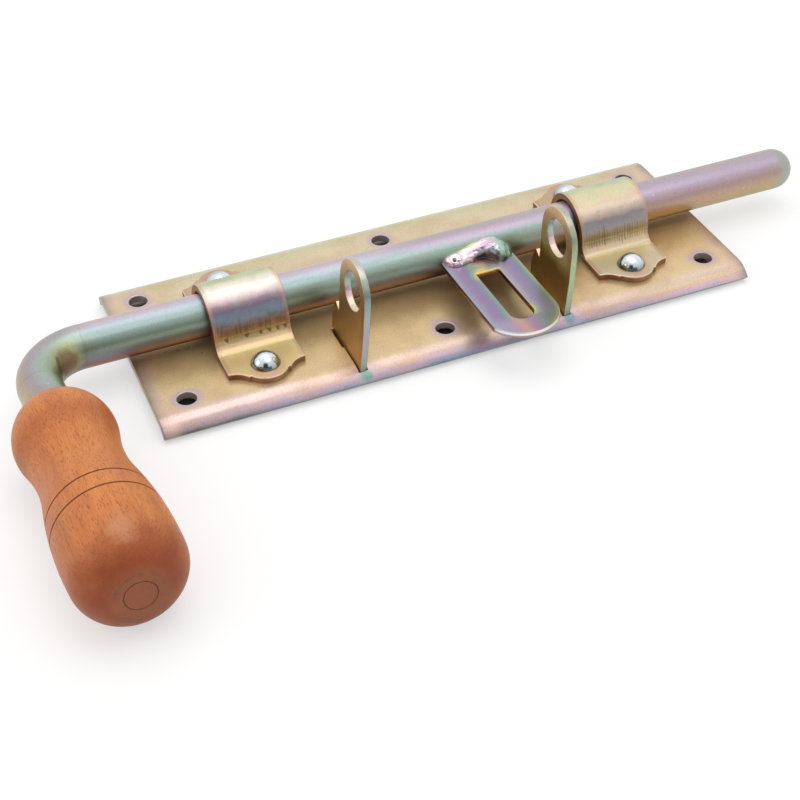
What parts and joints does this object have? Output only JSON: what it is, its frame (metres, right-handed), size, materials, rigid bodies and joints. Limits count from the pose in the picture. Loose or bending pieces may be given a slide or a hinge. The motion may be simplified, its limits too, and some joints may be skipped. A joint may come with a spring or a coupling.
{
  "type": "gate bolt",
  "caption": "Sliding gate bolt: a round bar with a cranked wooden grip runs in two keepers riveted to a long plate, with a slotted hasp and padlock eyes.",
  "frame": {"origin": "centre of the base plate's top face, midway between the corner screw holes", "axes": "+X along the bar towards its nose, -Y where the arm, the hasp and the padlock eyes are, +Z out of the plate, away from the gate"},
  "size_m": [0.3268, 0.1742, 0.0447],
  "materials": {
    "plate_zinc": "yellow passivated zinc on steel sheet, gold with pink and blue iridescence along the bends and edges",
    "bar_zinc": "passivated zinc on round bar, grey-green with lilac and orange-brown bands",
    "hasp_zinc": "passivated zinc on the hasp, lilac with green and yellow borders",
    "weld_metal": "lumpy weld bead under the same passivated zinc",
    "bright_zinc": "bright zinc on rivets, washer and screw",
    "beech": "turned beech, oiled, with short dark pores along its length"
  },
  "bodies": {
    "base": {"base_plate": "plate_zinc", "left_keeper": "plate_zinc", "right_keeper": "plate_zinc", "left_front_rivet": "bright_zinc", "left_rear_rivet": "bright_zinc", "right_front_rivet": "bright_zinc", "right_rear_rivet": "bright_zinc", "left_padlock_eye": "plate_zinc", "right_padlock_eye": "plate_zinc", "left_eye_weld": "weld_metal", "right_eye_weld": "weld_metal"},
    "bolt_slider": {"bolt_shank": "bar_zinc"},
    "bolt_turner": {"bolt_crank": "bar_zinc", "hasp": "hasp_zinc", "hasp_weld": "weld_metal", "grip_washer": "bright_zinc", "grip_screw": "bright_zinc"},
    "grip_spinner": {"grip": "beech", "grip_plug": "beech"}
  },
  "joints": [
    {"name": "bolt_slide", "type": "slide", "parent": "base", "child": "bolt_slider", "axis": [1, 0, 0], "range_m": [-0.0401, 0.0072]},
    {"name": "bolt_turn", "type": "hinge", "parent": "bolt_slider", "child": "bolt_turner", "pos_m": [0, 0, 0.0096], "axis": [-1, 0, 0], "range_deg": [0, 176.4]},
    {"name": "grip_spin", "type": "hinge", "parent": "bolt_turner", "child": "grip_spinner", "pos_m": [-0.1508, 0, 0.0096], "axis": [0.0419, -0.9986, 0.0314], "continuous": true}
  ]
}
